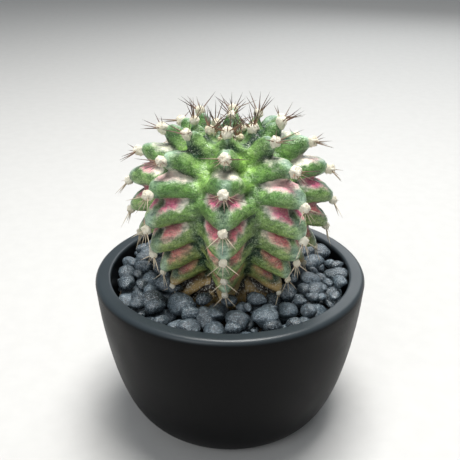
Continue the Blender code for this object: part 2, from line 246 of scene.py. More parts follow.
class StemSettings(bpy.types.PropertyGroup):
    radius: size_property("Radius", "Radius at the widest areoles", 29.9 * MM)
    height: size_property("Height", "Height of the crown above the rim", 46.0 * MM)
    ribs: IntProperty(name="Ribs", description="Number of ribs", default=8, min=3)
    rib_depth: size_property("Rib depth", "Depth of the valleys between the ribs", 8.2 * MM)
    notch_depth: size_property("Notch depth", "Depth of the notch under each chin", 4.6 * MM)
    skin_inset: size_property("Skin inset", "From the areoles' centres to the skin", 0.7 * MM)
    first_rib: FloatProperty(
        name="First rib", description="Azimuth of the front rib", default=math.radians(-3.5), subtype="ANGLE"
    )
    # dark green laid as painted shade on the ridges' flanks and in the lower valleys
    shade_skin: colour_property("Dark skin", "Colour of the ridges' flanks", (0.013, 0.052, 0.022))
    green_skin: colour_property("Green skin", "Colour of the ridges", (0.104, 0.240, 0.060))
    fresh_skin: colour_property("Fresh skin", "Paler green that clouds the ridges", (0.270, 0.440, 0.150))
    old_skin: colour_property("Old skin", "Yellower green of the lower ridges", (0.240, 0.310, 0.090))
    # pale waxy bloom, also laid as a painted highlight along the crests
    bloom_and_sheen: colour_property("Bloom", "Pale stripe on the tubercles", (0.38, 0.54, 0.44))
    young_skin: colour_property("Young skin", "Bright green in the upper grooves", (0.27, 0.50, 0.100))
    cream_patch: colour_property("Cream patch", "Palest patches under the chins", (0.95, 0.93, 0.79))
    pink_patch: colour_property("Pink patch", "Pink patches under the chins", (0.94, 0.20, 0.38))
    salmon_patch: colour_property("Salmon patch", "Older patches under the chins", (0.72, 0.25, 0.21))
    maroon: colour_property("Maroon", "Skin in the shade of a chin", (0.16, 0.020, 0.022))
    cork: colour_property("Cork", "Corky skin at the base", (0.52, 0.36, 0.15))


class TuftSettings(bpy.types.PropertyGroup):
    wool_radius: size_property("Wool radius", "Radius of a full-grown wool ball", 1.55 * MM)
    spine_length: size_property("Spine length", "Length of the longest spines", 6.8 * MM)
    spine_radius: size_property("Spine radius", "Radius of a spine at its base", 0.17 * MM)
    seed: IntProperty(name="Seed", description="Seed of the spines' and hairs' places", default=21)
    wool: colour_property("Wool", "Colour of the wool", (0.94, 0.89, 0.74))
    pale_spine: colour_property("Pale spine", "Colour of the old spines", (0.72, 0.62, 0.46))
    dark_spine: colour_property("Dark spine", "Colour of the young spines", (0.055, 0.022, 0.016))


class StudioSettings(bpy.types.PropertyGroup):
    floor_size: size_property("Floor size", "Width of the floor", 4.0)
    floor_colour: colour_property("Floor", "Colour of the floor", (0.60, 0.595, 0.58))
    light_power: FloatProperty(
        name="Light", description="Power that the softboxes take their shares of", default=5.7, unit="POWER"
    )
    air_light: FloatProperty(
        name="Room light", description="Strength of the light from all round", default=0.26
    )


# Meshes


def deselect_all():
    for obj in bpy.context.view_layer.objects:
        obj.select_set(False)


def take_primitive(name):
    """The primitive that was just added, named."""
    obj = bpy.context.active_object
    obj.name = name
    obj.data.name = name
    return obj


def make_active(obj):
    deselect_all()
    obj.select_set(True)
    bpy.context.view_layer.objects.active = obj


def edit(obj):
    make_active(obj)
    bpy.ops.object.mode_set(mode="EDIT")


def leave_edit():
    bpy.ops.object.mode_set(mode="OBJECT")


def points_of(obj):
    points = np.zeros(len(obj.data.vertices) * 3)
    obj.data.vertices.foreach_get("co", points)
    return points.reshape(-1, 3)


def set_points(obj, points):
    obj.data.vertices.foreach_set("co", np.asarray(points, float).ravel())
    obj.data.update()


def set_values(obj, name, values):
    """Stores one number a vertex under a name that materials read."""
    attribute = obj.data.attributes.get(name) or obj.data.attributes.new(name, "FLOAT", "POINT")
    spread = np.broadcast_to(np.asarray(values, float), (len(obj.data.vertices),))
    attribute.data.foreach_set("value", np.ascontiguousarray(spread, np.float32))


def link_new(name, data):
    made = bpy.data.objects.new(name, data)
    bpy.context.scene.collection.objects.link(made)
    return made


def copy_of(template, matrix, **values):
    """A placed copy of a template, with its own mesh and its own values."""
    twin = link_new(template.name, template.data.copy())
    twin.data.transform(matrix)
    for name, value in values.items():
        set_values(twin, name, value)
    return twin


def join_all(objects, name):
    deselect_all()
    for obj in objects:
        obj.select_set(True)
    bpy.context.view_layer.objects.active = objects[0]
    if len(objects) > 1:
        bpy.ops.object.join()
    joined = bpy.context.active_object
    joined.name = name
    joined.data.name = name
    return joined


def discard(objects):
    for obj in objects:
        mesh = obj.data
        bpy.data.objects.remove(obj, do_unlink=True)
        bpy.data.meshes.remove(mesh)


def finish_piece(obj, slot, *replaced):
    """Puts the piece on the plant's one body and hides the solids that it stands for. Its slot is not used.
    """
    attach(obj, "root")
    if replaced:
        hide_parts(*replaced)


def smoothstep(low, high, value):
    share = np.clip((value - low) / (high - low), 0.0, 1.0)
    return share * share * (3.0 - 2.0 * share)


def smooth_curve(points, steps=16):
    """A Catmull-Rom curve through the points, as an array of finer points."""
    knots = np.array(points, float)
    knots = np.vstack([2 * knots[0] - knots[1], knots, 2 * knots[-1] - knots[-2]])
    share = (np.arange(steps) / steps)[:, None]
    spans = []
    for before, start, end, after in zip(knots, knots[1:], knots[2:], knots[3:]):
        bend = 2 * before - 5 * start + 4 * end - after
        twist = 3 * start - before - 3 * end + after
        spans.append(start + 0.5 * share * (end - before + share * (bend + share * twist)))
    return np.vstack([*spans, knots[-2:-1]])


# Material parts


def new_material(name):
    material = bpy.data.materials.new(name)
    material.use_nodes = True
    tree = material.node_tree
    return material, tree, tree.nodes["Principled BSDF"]


def feed(tree, node, inputs):
    """Sets a node's inputs to numbers or colours, or links them to the sockets that feed them."""
    for name, value in inputs.items():
        socket = node.inputs[name]
        if isinstance(value, bpy.types.NodeSocket):
            tree.links.new(value, socket)
        elif socket.type == "RGBA" and len(value) == 3:
            socket.default_value = (*value, 1.0)
        else:
            socket.default_value = value


def add_node(tree, kind, inputs=None, **settings):
    made = tree.nodes.new(kind)
    for name, value in settings.items():
        setattr(made, name, value)
    feed(tree, made, inputs or {})
    return made


def math_node(tree, operation, first, second):
    return add_node(tree, "ShaderNodeMath", {0: first, 1: second}, operation=operation).outputs[0]


def times(tree, first, *others):
    for other in others:
        first = math_node(tree, "MULTIPLY", first, other)
    return first


def plus(tree, first, *others):
    for other in others:
        first = math_node(tree, "ADD", first, other)
    return first


def stretch(tree, value, low, high, to_low=0.0, to_high=1.0):
    """Maps a value from one range to another, smoothly and clamped."""
    made = add_node(
        tree,
        "ShaderNodeMapRange",
        {"Value": value, "From Min": low, "From Max": high, "To Min": to_low, "To Max": to_high},
        interpolation_type="SMOOTHSTEP",
    )
    return made.outputs["Result"]


def blend_colours(tree, share, first, second, mode="MIX"):
    made = add_node(tree, "ShaderNodeMix", data_type="RGBA", blend_type=mode, clamp_factor=True)
    feed(tree, made, {0: share, 6: first, 7: second})
    return made.outputs[2]


def colour_ramp(tree, value, *stops):
    made = add_node(tree, "ShaderNodeValToRGB", {"Fac": value})
    elements = made.color_ramp.elements
    for position, colour in stops[1:-1]:
        elements.new(position).color = (*colour, 1.0)
    for element, (position, colour) in ((elements[0], stops[0]), (elements[-1], stops[-1])):
        element.position = position
        element.color = (*colour, 1.0)
    return made.outputs["Color"]


def attribute(tree, name):
    return add_node(tree, "ShaderNodeAttribute", attribute_name=name).outputs["Fac"]


def object_place(tree):
    return tree.nodes.new("ShaderNodeTexCoord").outputs["Object"]


def height_up(tree):
    return add_node(tree, "ShaderNodeSeparateXYZ", {"Vector": object_place(tree)}).outputs["Z"]


def shades(colour, *factors):
    """Darker or lighter versions of one colour."""
    return [tuple(factor * part for part in colour) for factor in factors]


def build_mottle_group():
    """Mottling of a given grain size: soft clouds, sharp grains and a height for bumps."""
    group = bpy.data.node_groups.new("mottle", "ShaderNodeTree")
    group.interface.new_socket("Place", in_out="INPUT", socket_type="NodeSocketVector")
    size = group.interface.new_socket("Grain size", in_out="INPUT", socket_type="NodeSocketFloat")
    size.default_value = 0.4 * MM
    share = group.interface.new_socket("Grain share", in_out="INPUT", socket_type="NodeSocketFloat")
    share.default_value = 0.5
    for name in ("Clouds", "Grains", "Height"):
        group.interface.new_socket(name, in_out="OUTPUT", socket_type="NodeSocketFloat")
    inlet = group.nodes.new("NodeGroupInput").outputs
    outlet = group.nodes.new("NodeGroupOutput").inputs
    scale = math_node(group, "DIVIDE", 1.0, inlet["Grain size"])
    place = add_node(group, "ShaderNodeVectorMath", {0: inlet["Place"]}, operation="SCALE")
    group.links.new(scale, place.inputs["Scale"])
    clouds = add_node(
        group,
        "ShaderNodeTexNoise",
        {"Vector": place.outputs[0], "Scale": 0.22, "Detail": 3.0, "Roughness": 0.55},
    )
    grains = add_node(
        group,
        "ShaderNodeTexNoise",
        {"Vector": place.outputs[0], "Scale": 0.9, "Detail": 2.0, "Roughness": 0.6},
    )
    cells = add_node(group, "ShaderNodeTexVoronoi", {"Vector": place.outputs[0], "Scale": 0.8})
    edge = math_node(group, "SUBTRACT", 0.80, times(group, inlet["Grain share"], 0.5))
    upper = plus(group, edge, 0.08)
    group.links.new(stretch(group, clouds.outputs["Fac"], 0.3, 0.7), outlet["Clouds"])
    group.links.new(stretch(group, grains.outputs["Fac"], edge, upper), outlet["Grains"])
    lumps = times(group, cells.outputs["Distance"], 0.5)
    group.links.new(math_node(group, "SUBTRACT", grains.outputs["Fac"], lumps), outlet["Height"])
    return group


def mottle(tree, grain_size, grain_share=0.5, place=None):
    if place is None:
        place = object_place(tree)
    made = tree.nodes.new("ShaderNodeGroup")
    made.node_tree = bpy.data.node_groups.get("mottle") or build_mottle_group()
    feed(tree, made, {"Place": place, "Grain size": grain_size, "Grain share": grain_share})
    return made.outputs


def bump(tree, height, depth, strength=1.0):
    inputs = {"Height": height, "Distance": depth, "Strength": strength}
    return add_node(tree, "ShaderNodeBump", inputs).outputs["Normal"]


# Bowl


def bowl_outside(bowl, height):
    foot_share = bowl.foot_radius / bowl.rim_radius
    share = min(max(height / bowl.height, 0.0), 1.0)
    swell = (1.0 - (1.0 - share) ** BOWL_BOW) ** (1.0 / BOWL_BELLY)
    return bowl.rim_radius * (foot_share + (1.0 - foot_share) * swell)


def arc_points(centre, radius, start, end, steps):
    angles = [math.radians(start + (end - start) * step / steps) for step in range(steps + 1)]
    return [(centre[0] + radius * math.cos(a), centre[1] + radius * math.sin(a)) for a in angles]


def bowl_section(bowl):
    """Radius and height round the wall, from the drain hole out, up, over the rim and down the inside."""
    inner_round = INNER_ROUND * bowl.rim_round
    outer_steps, inner_steps = RIM_STEPS
    section = [(bowl.drain_radius, 0.0), (0.5 * bowl.foot_radius, 0.0)]
    section += [(bowl.foot_radius - FOOT_ROUND, 0.0), (bowl.foot_radius, 0.15 * FOOT_ROUND)]
    top = bowl.height - bowl.rim_round
    rings, bunching = OUTSIDE_RINGS
    for step in range(1, rings):
        height = top * (step / rings) ** bunching
        section.append((bowl_outside(bowl, height), height))
    section += arc_points((bowl.rim_radius - bowl.rim_round, top), bowl.rim_round, 0, 90, outer_steps)
    inner = bowl.rim_radius - bowl.wall
    section.append((0.5 * (inner + bowl.rim_radius), bowl.height))
    edge = (inner + inner_round, bowl.height - inner_round)
    section += arc_points(edge, inner_round, 90, 180, inner_steps)
    rings, bunching = INSIDE_RINGS
    for step in range(rings + 1):
        share = (1 - step / rings) ** bunching
        height = bowl.floor + (bowl.height - 2 * inner_round - bowl.floor) * share
        section.append((bowl_outside(bowl, height) - bowl.wall, height))
    section.append((bowl.drain_radius, bowl.floor))
    return section


class CACTUS_OT_bowl(bpy.types.Operator):
    """Turn the bowl from its section, one ring after another"""

    bl_idname = "cactus.bowl"
    bl_label = "Bowl"

    def execute(self, context):
        bowl = context.scene.cactus_bowl
        section = bowl_section(bowl)
        deselect_all()
        bpy.ops.mesh.primitive_circle_add(
            vertices=BOWL_SIDES, radius=section[0][0], fill_type="NOTHING"
        )
        obj = take_primitive("bowl")
        edit(obj)
        bpy.ops.mesh.select_all(action="SELECT")
        for (radius, height), (next_radius, next_height) in zip(section, section[1:]):
            growth = next_radius / radius
            bpy.ops.mesh.extrude_region_move(
                TRANSFORM_OT_translate={"value": (0.0, 0.0, next_height - height)}
            )
            bpy.ops.transform.resize(value=(growth, growth, 1.0), center_override=(0.0, 0.0, 0.0))
        shape = bmesh.from_edit_mesh(obj.data)
        shape.edges.ensure_lookup_table()
        for edge in shape.edges:
            edge.select_set(edge.is_boundary)
        bmesh.update_edit_mesh(obj.data)
        bpy.ops.mesh.bridge_edge_loops()
        bpy.ops.mesh.select_all(action="SELECT")
        bpy.ops.mesh.normals_make_consistent(inside=False)
        leave_edit()
        make_active(obj)
        bpy.ops.object.shade_smooth_by_angle(angle=CREASE_ANGLE)
        obj.data.materials.append(glaze_material(bowl))
        finish_piece(obj, "pot", "pot")
        return {"FINISHED"}


def glaze_material(bowl):
    material, tree, shader = new_material("matt_black_glaze")
    fine = mottle(tree, 0.16 * MM, 0.45)
    broad = mottle(tree, 3.5 * MM)["Clouds"]
    lighter = tuple(1.9 * part + 0.001 for part in bowl.glaze)
    colour = blend_colours(tree, times(tree, broad, 0.45), bowl.glaze, lighter)
    colour = blend_colours(tree, times(tree, fine["Grains"], 0.5), colour, lighter)
    # band round the lip: dust and a painted sheen in the base colour, with a real coat over it
    dusty_painted_sheen = stretch(tree, height_up(tree), bowl.height - 1.5 * MM, bowl.height - 0.3 * MM)
    rough = stretch(tree, broad, 0.0, 1.0, 0.38, 0.46)
    feed(
        tree,
        shader,
        {
            "Base Color": blend_colours(tree, dusty_painted_sheen, colour, bowl.lip),
            "Roughness": plus(tree, rough, times(tree, fine["Grains"], 0.06)),
            "Specular IOR Level": 0.09,
            "Coat Weight": times(tree, dusty_painted_sheen, 0.55),
            "Coat Roughness": 0.30,
            "Normal": bump(tree, fine["Height"], 0.03 * MM, 0.6),
        },
    )
    return material


# Gravel


def soil_material():
    material, tree, shader = new_material("potting_mix")
    crumbs = mottle(tree, 1.1 * MM, 0.6)
    colour = blend_colours(tree, crumbs["Clouds"], (0.020, 0.013, 0.009), (0.060, 0.038, 0.024))
    colour = blend_colours(tree, crumbs["Grains"], colour, (0.16, 0.12, 0.08))
    normal = bump(tree, crumbs["Height"], 0.8 * MM)
    feed(tree, shader, {"Base Color": colour, "Roughness": 0.95, "Normal": normal})
    return material


def stone_material(gravel):
    material, tree, shader = new_material("speckled_black_stone")
    fine = mottle(tree, 0.22 * MM, 0.50)
    coarse = mottle(tree, 0.55 * MM, 0.42)
    broad = mottle(tree, 2.4 * MM)["Clouds"]
    pit, dark, light = shades(gravel.stone, 0.25, 0.30, 1.55)
    colour = blend_colours(tree, attribute(tree, "tone"), dark, light)
    colour = blend_colours(tree, times(tree, broad, 0.55), colour, gravel.stone)
    colour = blend_colours(tree, times(tree, fine["Grains"], 0.75), colour, gravel.grain)
    colour = blend_colours(tree, times(tree, coarse["Grains"], 0.50), colour, gravel.grain)
    pits = times(tree, stretch(tree, coarse["Height"], 0.22, 0.05), 0.6)
    height = plus(tree, fine["Height"], times(tree, coarse["Height"], 1.6))
    feed(
        tree,
        shader,
        {
            "Base Color": blend_colours(tree, pits, colour, pit),
            "Roughness": stretch(tree, broad, 0.0, 1.0, 0.17, 0.34),
            "Specular IOR Level": 0.8,
            "Normal": bump(tree, height, 0.16 * MM, 0.9),
        },
    )
    return material


def model_stone(name, random, cuts):
    """A rounded stone with flattish sides: a ball cut by planes, remeshed and smoothed."""
    deselect_all()
    bpy.ops.mesh.primitive_ico_sphere_add(subdivisions=3, radius=1.0)
    obj = take_primitive(name)
    edit(obj)
    for _ in range(cuts):
        normal = Vector(random.normal(size=3)).normalized()
        depth = random.uniform(*CUT_DEPTHS)
        bpy.ops.mesh.select_all(action="SELECT")
        bpy.ops.mesh.bisect(plane_co=normal * depth, plane_no=normal, use_fill=True, clear_outer=True)
    bpy.ops.mesh.select_all(action="SELECT")
    bpy.ops.mesh.normals_make_consistent(inside=False)
    leave_edit()
    make_active(obj)
    bpy.ops.object.modifier_add(type="REMESH")
    obj.modifiers[-1].mode = "VOXEL"
    obj.modifiers[-1].voxel_size = STONE_VOXEL
    bpy.ops.object.modifier_apply(modifier=obj.modifiers[-1].name)
    bpy.ops.object.modifier_add(type="SMOOTH")
    obj.modifiers[-1].factor = 0.5
    obj.modifiers[-1].iterations = 3
    bpy.ops.object.modifier_apply(modifier=obj.modifiers[-1].name)
    points = points_of(obj)
    low, high = points.min(axis=0), points.max(axis=0)
    set_points(obj, (points - 0.5 * (low + high)) / (0.5 * (high - low)))
    bpy.ops.object.shade_smooth()
    return obj


def settle_stones(bowl, stem, sizes, spins, random):
    """Drops stones one at a time on a height map, and gives each its resting place, or None.

    Each stone tries many places and takes the lowest, where the wall counts as higher, so the bed rises
    towards the stem. A stone that would stand proud of the bed is left out.
    """
    reach = int(bowl.rim_radius / MAP_CELL)
    axis = (np.arange(-reach, reach + 1)) * MAP_CELL
    grid_x, grid_y = np.meshgrid(axis, axis, indexing="ij")
    rest = np.full(grid_x.shape, bowl.height - BED_DEPTH)
    innermost = stem_radius_at(stem, bowl, bowl.height - RIBBED_DROP) - STEM_OVERHANG
    outermost = bowl_outside(bowl, bowl.height - WALL_LEVEL) - bowl.wall
    places = []
    for (length, width, thickness), spin in zip(sizes, spins):
        half = 0.5 * length
        mean_half = 0.25 * (length + width)
        inner = innermost + mean_half * STEM_GAP
        outer = outermost - mean_half * WALL_GAP
        best = None
        for _ in range(PLACES_TRIED):
            out = math.sqrt(random.uniform(inner**2, outer**2))
            turn = random.uniform(0.0, FULL_TURN)
            x, y = out * math.sin(turn), -out * math.cos(turn)
            low_x, low_y = (int(round((value - half) / MAP_CELL)) + reach for value in (x, y))
            span = int(2 * half / MAP_CELL) + 2
            part = np.s_[max(low_x, 0) : low_x + span, max(low_y, 0) : low_y + span]
            step_x, step_y = grid_x[part] - x, grid_y[part] - y
            lengthwise = step_x * math.cos(spin) + step_y * math.sin(spin)
            crosswise = step_y * math.cos(spin) - step_x * math.sin(spin)
            apart = (2 * lengthwise / length) ** 2 + (2 * crosswise / width) ** 2
            cap = 0.5 * thickness * np.sqrt(np.clip(1.0 - apart, 0.0, 1.0))
            height = float(np.where(apart < 1.0, rest[part] + cap, 0.0).max())
            share = (out - inner) / (outer - inner)
            score = height + 0.5 * thickness + BED_SLOPE * share
            if best is None or score < best[0]:
                best = (score, height, x, y, part, apart, cap)
        score, height, x, y, part, apart, cap = best
        if score > bowl.height + BED_CROWN:
            places.append(None)
            continue
        rest[part] = np.where(apart < 1.0, np.maximum(rest[part], height + cap), rest[part])
        places.append((x, y, height))
    return places


class CACTUS_OT_gravel(bpy.types.Operator):
    """Drop the stones of the top dressing round the stem"""

    bl_idname = "cactus.gravel"
    bl_label = "Gravel"

    def execute(self, context):
        scene = context.scene
        random = np.random.default_rng(scene.cactus_gravel.seed)
        shapes = []
        for index in range(STONE_SHAPES):
            cuts = FEWEST_CUTS + index % (MOST_CUTS - FEWEST_CUTS + 1)
            shapes.append(model_stone(f"stone_shape_{index}", random, cuts))
        grit = stone_material(scene.cactus_gravel)
        for shape in shapes:
            shape.data.materials.append(grit)
        self.drop_bed(scene, shapes, random)
        self.set_loose_stones(shapes, random)
        discard(shapes)
        soil = frame["nodes"]["potting_soil"]
        soil.data.materials.clear()
        soil.data.materials.append(soil_material())
        return {"FINISHED"}

    def drop_bed(self, scene, shapes, random):
        gravel = scene.cactus_gravel
        count = gravel.stones
        lengths = gravel.stone_size * np.clip(random.normal(0.97, 0.13, count), 0.6, 1.25)
        lengths[::4] *= SMALL_STONE
        lengths[: count // 4] *= GRIT_STONE
        lengths[-count // 6 :] *= GRIT_STONE
        widths = lengths * random.uniform(0.70, 0.95, count)
        thicknesses = lengths * random.uniform(0.52, 0.78, count)
        sizes = list(zip(lengths, widths, thicknesses))
        spins = random.uniform(0.0, FULL_TURN, count)
        places = settle_stones(scene.cactus_bowl, scene.cactus_stem, sizes, spins, random)
        copies = []
        for size, spin, place in zip(sizes, spins, places):
            tilt = Euler((*random.normal(0.0, STONE_TILT, 2), 0.0)).to_matrix().to_4x4()
            shape = shapes[int(random.integers(len(shapes)))]
            tone = random.uniform(0.0, 1.0)
            if place:
                halves = Matrix.Diagonal((*(STONE_FILL * side for side in size), 1.0))
                matrix = Matrix.Translation(place) @ tilt @ Matrix.Rotation(spin, 4, "Z") @ halves
                copies.append(copy_of(shape, matrix, tone=tone))
        finish_piece(join_all(copies, "gravel_stones"), "gravel", "gravel_bed")

    def set_loose_stones(self, shapes, random):
        for number in range(1, LOOSE_STONES + 1):
            low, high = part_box(f"pebble_{number:02d}")
            spin = Matrix.Rotation(random.uniform(0, FULL_TURN), 4, "Z")
            half = 0.5 * (high - low)
            size = Matrix.Diagonal((half.x * 0.95, half.y * 0.95, half.z, 1.0))
            matrix = Matrix.Translation(0.5 * (low + high)) @ size @ spin
            shape = shapes[number % len(shapes)]
            pebble = copy_of(shape, matrix, tone=random.uniform(0.1, 0.8))
            pebble.name = f"loose_stone_{number}"
            finish_piece(pebble, "gravel", f"pebble_{number:02d}")


# Stem


class Outline:
    """The stem's crest line in metres, with where the areoles fall on it."""

    def __init__(self, stem, bowl):
        self.line = smooth_curve(CREST) * (stem.radius, stem.height) + (0.0, bowl.height)
        self.line[-1, 0] = 0.0
        steps = np.linalg.norm(np.diff(self.line, axis=0), axis=1)
        self.share = np.concatenate([[0.0], np.cumsum(steps)])
        self.share /= self.share[-1]
        self.spacing = smooth_curve([(count, share) for count, share in enumerate(AREOLE_SPACING)])

    def point(self, share):
        """Radius, height and the outward direction's two parts."""
        step = 0.004
        radius = np.interp(share, self.share, self.line[:, 0])
        height = np.interp(share, self.share, self.line[:, 1])
        before = np.clip(share - step, 0.0, 1.0)
        after = np.clip(share + step, 0.0, 1.0)
        run, rise = (
            np.interp(after, self.share, column) - np.interp(before, self.share, column)
            for column in self.line.T
        )
        run = np.where(share < step, np.abs(run), run)
        rise = np.where(share < step, 0.0, rise)
        length = np.hypot(run, rise)
        return radius, height, -rise / length, run / length

    def count(self, share):
        return np.interp(share, self.spacing[:, 1], self.spacing[:, 0])


def stem_radius_at(stem, bowl, height):
    """Radius of the crests at a height below the widest areoles."""
    line = Outline(stem, bowl).line
    widest = int(np.argmax(line[:, 0]))
    return float(np.interp(height, line[:widest:-1, 1], line[:widest:-1, 0]))


def ridge_profile(along, across):
    """Height of a tubercle, 0 in the notch to 1 on top, over one areole spacing from chin to chin."""
    start = 0.10 + 0.08 * across
    nose = 0.78 - 0.08 * across
    rise = smoothstep(0.0, 1.0, (along - start) / 0.60)
    fall = np.clip((along - nose) / (1.0 - nose), 0.0, 1.0)
    return rise**0.8 * np.sqrt(1.0 - fall**2)


def rib_position(stem, azimuth):
    """The nearest rib, and how far each point is from its crest, 0, to the valley, 1."""
    position = (azimuth - stem.first_rib) * stem.ribs / FULL_TURN
    rib = np.rint(position)
    return rib, 2.0 * np.abs(position - rib)


def below_chin(stem, rib, across, count):
    """How far each point is from one chin, 0, down to the next, 1, on ridges that climb to the valleys."""
    phase = ((stem.ribs - RIBS_BETWEEN) * rib % stem.ribs) / stem.ribs
    first, last, share_levelled = RIDGE_LEVELLING
    levelled = share_levelled * smoothstep(first, last, count)
    climb = RIDGE_RISE * (1.0 - levelled) * (across**2 + 0.002) ** 0.35
    return (count - phase + climb - CHIN) % 1.0


def skin_depth(stem, share, across, ridge):
    """How far the skin lies under the areoles' centres, in the valleys and in the notches under chins."""
    finger = (0.5 + 0.5 * np.cos(math.pi * across)) ** FINGER_POWER
    valley = 1.0 - FINGER_SHARE * finger - (1.0 - FINGER_SHARE) * (1.0 - across)
    depth = stem.rib_depth * smoothstep(0.0, RIBS_FULL, share) * valley
    notch = stem.notch_depth * smoothstep(NOTCHES_FROM, NOTCHES_FULL, share)
    notch = notch * (1.0 - (1.0 - VALLEY_NOTCH) * across)
    return stem.skin_inset + depth + notch * (1.0 - ridge)


def patch_values(across, along, count):
    """The coloured patch in each hollow under a chin, on both sides of the crest, and the chin's shade."""
    beside = 1.0 - smoothstep(*PARTED_TURNS, count) * (1.0 - smoothstep(*PARTED_ACROSS, across))
    patch = beside * (1.0 - smoothstep(*PATCH_ACROSS, across))
    patch = patch * (1.0 - smoothstep(*PATCH_ALONG, along)) * smoothstep(*PATCH_TURNS, count)
    under = (1.0 - smoothstep(*SHADE_ALONG, along)) * smoothstep(*SHADE_TURNS, count)
    return {"patch": patch, "under": under}


def stem_skin(stem, bowl, outline, share, azimuth):
    """Skin points, and the values that the skin's colours follow."""
    radius, height, out_part, up_part = outline.point(share)
    rib, across = rib_position(stem, azimuth)
    count = outline.count(share)
    along = below_chin(stem, rib, across, count)
    ridge = ridge_profile(along, across)
    open_air = smoothstep(bowl.height - BURIED_DROP, bowl.height - RIBBED_DROP, height)
    offset = -open_air * skin_depth(stem, share, across, ridge)
    radius = radius + out_part * offset
    height = height + up_part * offset
    points = np.stack([radius * np.sin(azimuth), -radius * np.cos(azimuth), height], axis=-1)
    return points, {"ridge": ridge, "across": across, "age": count, **patch_values(across, along, count)}


def areole_frame(stem, bowl, outline, count, lift):
    """Place of an areole on the skin of its crest: X across the rib, Y up the rib and Z outwards."""
    share = np.interp(count / stem.ribs, outline.spacing[:, 0], outline.spacing[:, 1])
    out_part, up_part = (float(part) for part in outline.point(share)[2:])
    azimuth = stem.first_rib - count * RIBS_BETWEEN * FULL_TURN / stem.ribs
    skin, _ = stem_skin(stem, bowl, outline, np.array([share]), np.array([azimuth]))
    front = Vector((math.sin(azimuth), -math.cos(azimuth), 0.0))
    side = Vector((math.cos(azimuth), math.sin(azimuth), 0.0))
    axis = front * out_part + Vector((0.0, 0.0, up_part))
    turn = Matrix((side, axis.cross(side), axis)).transposed().to_4x4()
    return Matrix.Translation(Vector(skin[0]) + axis * lift) @ turn


class CACTUS_OT_stem(bpy.types.Operator):
    """Shape the ribbed stem from a ball, down its crest line and round its ribs"""

    bl_idname = "cactus.stem"
    bl_label = "Stem"

    def execute(self, context):
        scene = context.scene
        stem, bowl = scene.cactus_stem, scene.cactus_bowl
        outline = Outline(stem, bowl)
        deselect_all()
        bpy.ops.mesh.primitive_uv_sphere_add(segments=STEM_COLUMNS, ring_count=STEM_ROWS, radius=1.0)
        obj = take_primitive("ribbed_stem")
        unit = points_of(obj)
        polar = np.arccos(np.clip(unit[:, 2], -1.0, 1.0)) / math.pi
        share = 0.80 * polar + 0.20 * polar**4
        azimuth = np.arctan2(unit[:, 0], -unit[:, 1]) + stem.first_rib
        points, values = stem_skin(stem, bowl, outline, share, azimuth)
        set_points(obj, points)
        for name, value in values.items():
            set_values(obj, name, value)
        make_active(obj)
        for name, (size, strength) in (("swellings", SWELLINGS), ("pimples", PIMPLES)):
            texture = bpy.data.textures.new(name, "CLOUDS")
            texture.noise_scale = size
            bpy.ops.object.modifier_add(type="DISPLACE")
            lumps = obj.modifiers[-1]
            lumps.texture = texture
            lumps.texture_coords = "LOCAL"
            lumps.strength = strength
            lumps.mid_level = 0.5
            bpy.ops.object.modifier_apply(modifier=lumps.name)
        bpy.ops.object.shade_smooth()
        obj.data.materials.append(skin_material(stem))
        finish_piece(obj, "stem", "cactus_stem")
        return {"FINISHED"}


class SkinMaps:
    """What the skin's colours follow: values stored on the mesh, and mottling of five grain sizes."""

    def __init__(self, tree):
        self.ridge, self.across, self.patch, self.under, age = (
            attribute(tree, name) for name in ("ridge", "across", "patch", "under", "age")
        )
        turns = math_node(tree, "SUBTRACT", age, YOUNGEST_LEVEL)
        level = add_node(tree, "ShaderNodeMath", {0: turns, 1: LEVELS}, operation="DIVIDE", use_clamp=True)
        self.level = level.outputs[0]
        self.fine = mottle(tree, 0.34 * MM)
        self.dots = mottle(tree, 0.50 * MM)
        self.blotches = mottle(tree, 1.3 * MM)["Clouds"]
        self.clouds = mottle(tree, 4.0 * MM)["Clouds"]
        place = {0: object_place(tree), 1: (1.0, 1.0, 2.4)}
        flattened = add_node(tree, "ShaderNodeVectorMath", place, operation="MULTIPLY").outputs[0]
        self.streaks = mottle(tree, 0.55 * MM, place=flattened)["Clouds"]


def ridge_colour(tree, stem, maps):
    """Green, yellower downwards, with painted light on the ridges' tops and painted shade on their flanks,
    and a pale stripe along each top that is bloom with a painted highlight.
    """
    level, across, blotches = maps.level, maps.across, maps.blotches
    young = shades(stem.green_skin, 0.75)[0]
    stops = ((0.00, young), (0.40, stem.green_skin), (0.70, stem.old_skin), (0.92, stem.old_skin))
    green = colour_ramp(tree, level, *stops, (1.00, stem.cork))
    fresh = times(tree, stretch(tree, maps.clouds, 0.35, 1.0), 0.55)
    green = blend_colours(tree, fresh, green, stem.fresh_skin)
    # painted light and shade: lighter on the ridges' tops, darker on their flanks, broken up by blotches
    sheltered = times(tree, across, stretch(tree, level, 0.75, 0.45, 0.1, 0.55))
    painted_ridge_light = plus(tree, maps.ridge, times(tree, blotches, 0.80), sheltered)
    green = blend_colours(tree, stretch(tree, painted_ridge_light, 0.40, 1.30), stem.shade_skin, green)
    groove = times(
        tree,
        stretch(tree, level, 0.46, 0.22),
        stretch(tree, across, 0.30, 0.85),
        stretch(tree, blotches, 0.1, 0.8, 0.25, 1.0),
        stretch(tree, level, 0.04, 0.16),
    )
    green = blend_colours(tree, groove, green, stem.young_skin)
    # pale stripe along each crest: partly the waxy bloom, partly a painted highlight
    bloom_and_highlight = times(
        tree,
        stretch(tree, across, 0.26, 0.02),
        stretch(tree, maps.ridge, 0.15, 0.7),
        stretch(tree, blotches, 0.1, 0.9, 0.30, 0.85),
    )
    return blend_colours(tree, bloom_and_highlight, green, stem.bloom_and_sheen)


